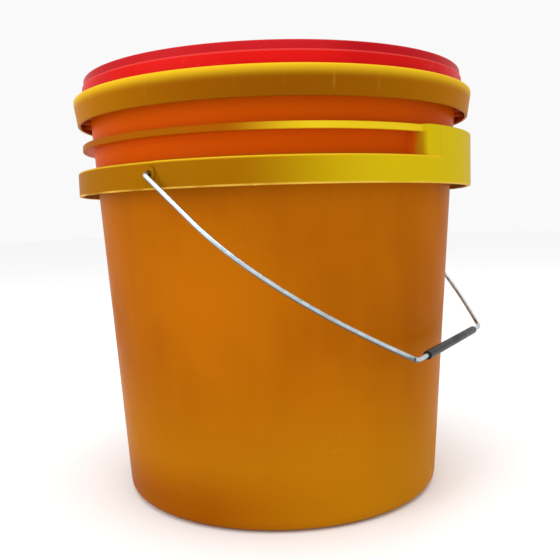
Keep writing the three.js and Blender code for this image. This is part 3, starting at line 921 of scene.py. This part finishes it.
def halfRoute():  # from the wire's tip inside the ear to the straight stretch's end, across and down
    b = bail
    widest = max(collarRadius, proudRadius, skirtRadius + pail["bossHigh"])
    half = widest + b["side"] + b["wire"]
    tailX = half - b["hookOuter"] - b["passage"] - b["hookInner"]
    slant = math.radians(b["slant"])
    bendX = b["stretch"] / 2 + b["bend"] * math.cos(slant)
    bendY = b["reach"] - b["bend"] * (1 - math.sin(slant))
    cornerY = bendY - (half - bendX) / math.tan(slant)
    points = [(tailX, -b["hookInner"] - b["tail"])]
    points += arcPoints(tailX + b["hookInner"], -b["hookInner"], b["hookInner"], 180, 90)
    points += arcPoints(half - b["hookOuter"], b["hookOuter"], b["hookOuter"], -90, 0)
    for k in range(b["legSteps"] + 1):
        t = k / b["legSteps"]
        x = (1 - t) ** 2 * half + 2 * t * (1 - t) * half + t * t * bendX
        y = (1 - t) ** 2 * b["leg"] + 2 * t * (1 - t) * cornerY + t * t * bendY
        points.append((x, y))
    centreY = b["reach"] - b["bend"]
    points += arcPoints(b["stretch"] / 2, centreY, b["bend"], 90 - b["slant"], 90)[1:]
    return points


def buildBail():
    half = halfRoute()
    route = half + [(-x, y) for x, y in reversed(half)]
    curve = bpy.data.curves.new("bailRoute", "CURVE")
    curve.dimensions = "3D"
    line = curve.splines.new("POLY")
    line.points.add(len(route) - 1)
    for point, (x, y) in zip(line.points, route):
        point.co = (*inBailPlane(x, y), 1)
    path = bpy.data.objects.new("bailWire", curve)
    bpy.context.scene.collection.objects.link(path)
    wire = grown(path, wireTree(), {
        "Radius": bail["wire"] * mm, "Sides": bail["sides"], "Material": wireZinc(wireLook),
    })
    smoothed(wire, 50)
    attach(wire, "bail")
    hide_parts("bail_wire")
    print("wire built", len(wire.data.polygons))


def buildSleeve():
    s = sleeve
    inner = bail["wire"] + s["play"]
    half = s["length"] / 2
    loop = rounded([(inner, -half, s["boreEdge"]), (s["radius"], -half, s["edge"]),
                    (s["radius"], half, s["edge"]), (inner, half, s["boreEdge"])])
    bm = bmesh.new()
    rings = []
    for point in loop:
        ring = []
        for k in range(s["sides"]):
            turn = math.tau * k / s["sides"]
            down = bail["reach"] + point.x * math.cos(turn)
            ring.append(bm.verts.new(inBailPlane(point.y, down, point.x * math.sin(turn))))
        rings.append(ring)
    for i in range(len(rings)):
        a, b = rings[i], rings[(i + 1) % len(rings)]
        for k in range(s["sides"]):
            n = (k + 1) % s["sides"]
            bm.faces.new([a[k], a[n], b[n], b[k]])
    grip = meshObject("gripSleeve", bm)
    grip.data.materials.append(sleevePlastic(sleeveLook))
    smoothed(grip)
    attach(grip, "grip")
    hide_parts("bail_grip")
    print("sleeve built", len(grip.data.polygons))


buildBail()
buildSleeve()


# The studio

studio = {
    "floor": (0.97, 0.97, 0.97), "floorRoughness": 0.9, "floorSize": 6, "floorDrop": 0.3,
    "world": (1.0, 1.0, 1.0), "worldStrength": 0.95,
    "lights": {
        # name: (place, aimed at, size, power, colour)
        "topSoftbox": ((-0.2, -0.2, 1.5), (0, 0, 0.15), (1.0, 1.0), 9, (1, 1, 1)),
        "leftSoftbox": ((-1.4, 0.6, 0.7), (0, 0, 0.15), (0.8, 1.2), 7, (1, 1, 1)),
    },
}

photographer = {
    "distance": 0.497, "height": 0.1819, "azimuth": -59.14, "pan": 0.20, "pitch": 5.08, "roll": 1.71,
    "lens": 45.0, "sensor": 36.0, "nearest": 0.01,
}


def buildStudio():
    ground = bmesh.new()
    bmesh.ops.create_grid(ground, x_segments=1, y_segments=1, size=studio["floorSize"])
    floor = meshObject("floor", ground)
    floor.location.z = -studio["floorDrop"] * mm
    paint = bpy.data.materials.new("floorPaint")
    paint.use_nodes = True
    shader = paint.node_tree.nodes["Principled BSDF"]
    shader.inputs["Base Color"].default_value = (*studio["floor"], 1)
    shader.inputs["Roughness"].default_value = studio["floorRoughness"]
    floor.data.materials.append(paint)
    world = bpy.data.worlds.new("studioWorld")
    world.use_nodes = True
    back = world.node_tree.nodes["Background"]
    back.inputs[0].default_value = (*studio["world"], 1)
    back.inputs[1].default_value = studio["worldStrength"]
    bpy.context.scene.world = world
    for name, (place, target, size, power, colour) in studio["lights"].items():
        light = bpy.data.lights.new(name, "AREA")
        light.shape = "RECTANGLE"
        light.size, light.size_y = size
        light.energy = power
        light.color = colour
        lamp = bpy.data.objects.new(name, light)
        lamp.location = place
        lamp.rotation_euler = (Vector(target) - Vector(place)).to_track_quat("-Z", "Y").to_euler()
        bpy.context.scene.collection.objects.link(lamp)


def buildCamera():
    c = photographer
    azimuth = math.radians(c["azimuth"])
    ahead = Vector((-math.sin(azimuth), math.cos(azimuth), 0))
    place = Vector((0, 0, c["height"])) - ahead * c["distance"]
    right = Vector((math.cos(azimuth), math.sin(azimuth), 0))
    pan, pitch, roll = (math.radians(c[key]) for key in ("pan", "pitch", "roll"))
    heading = ahead * math.cos(pan) + right * math.sin(pan)
    forward = heading * math.cos(pitch) - Vector((0, 0, math.sin(pitch)))
    level = right * math.cos(pan) - ahead * math.sin(pan)
    up = level.cross(forward)
    side = level * math.cos(roll) - up * math.sin(roll)
    top = level * math.sin(roll) + up * math.cos(roll)
    data = bpy.data.cameras.new("photographer")
    data.lens, data.sensor_width = c["lens"], c["sensor"]
    data.clip_start = c["nearest"]
    camera = bpy.data.objects.new("photographer", data)
    camera.matrix_world = Matrix((
        (side.x, top.x, -forward.x, place.x),
        (side.y, top.y, -forward.y, place.y),
        (side.z, top.z, -forward.z, place.z),
        (0, 0, 0, 1),
    ))
    bpy.context.scene.collection.objects.link(camera)
    bpy.context.scene.camera = camera


buildStudio()
buildCamera()
bpy.context.scene.view_settings.view_transform = "Standard"
print("studio set")
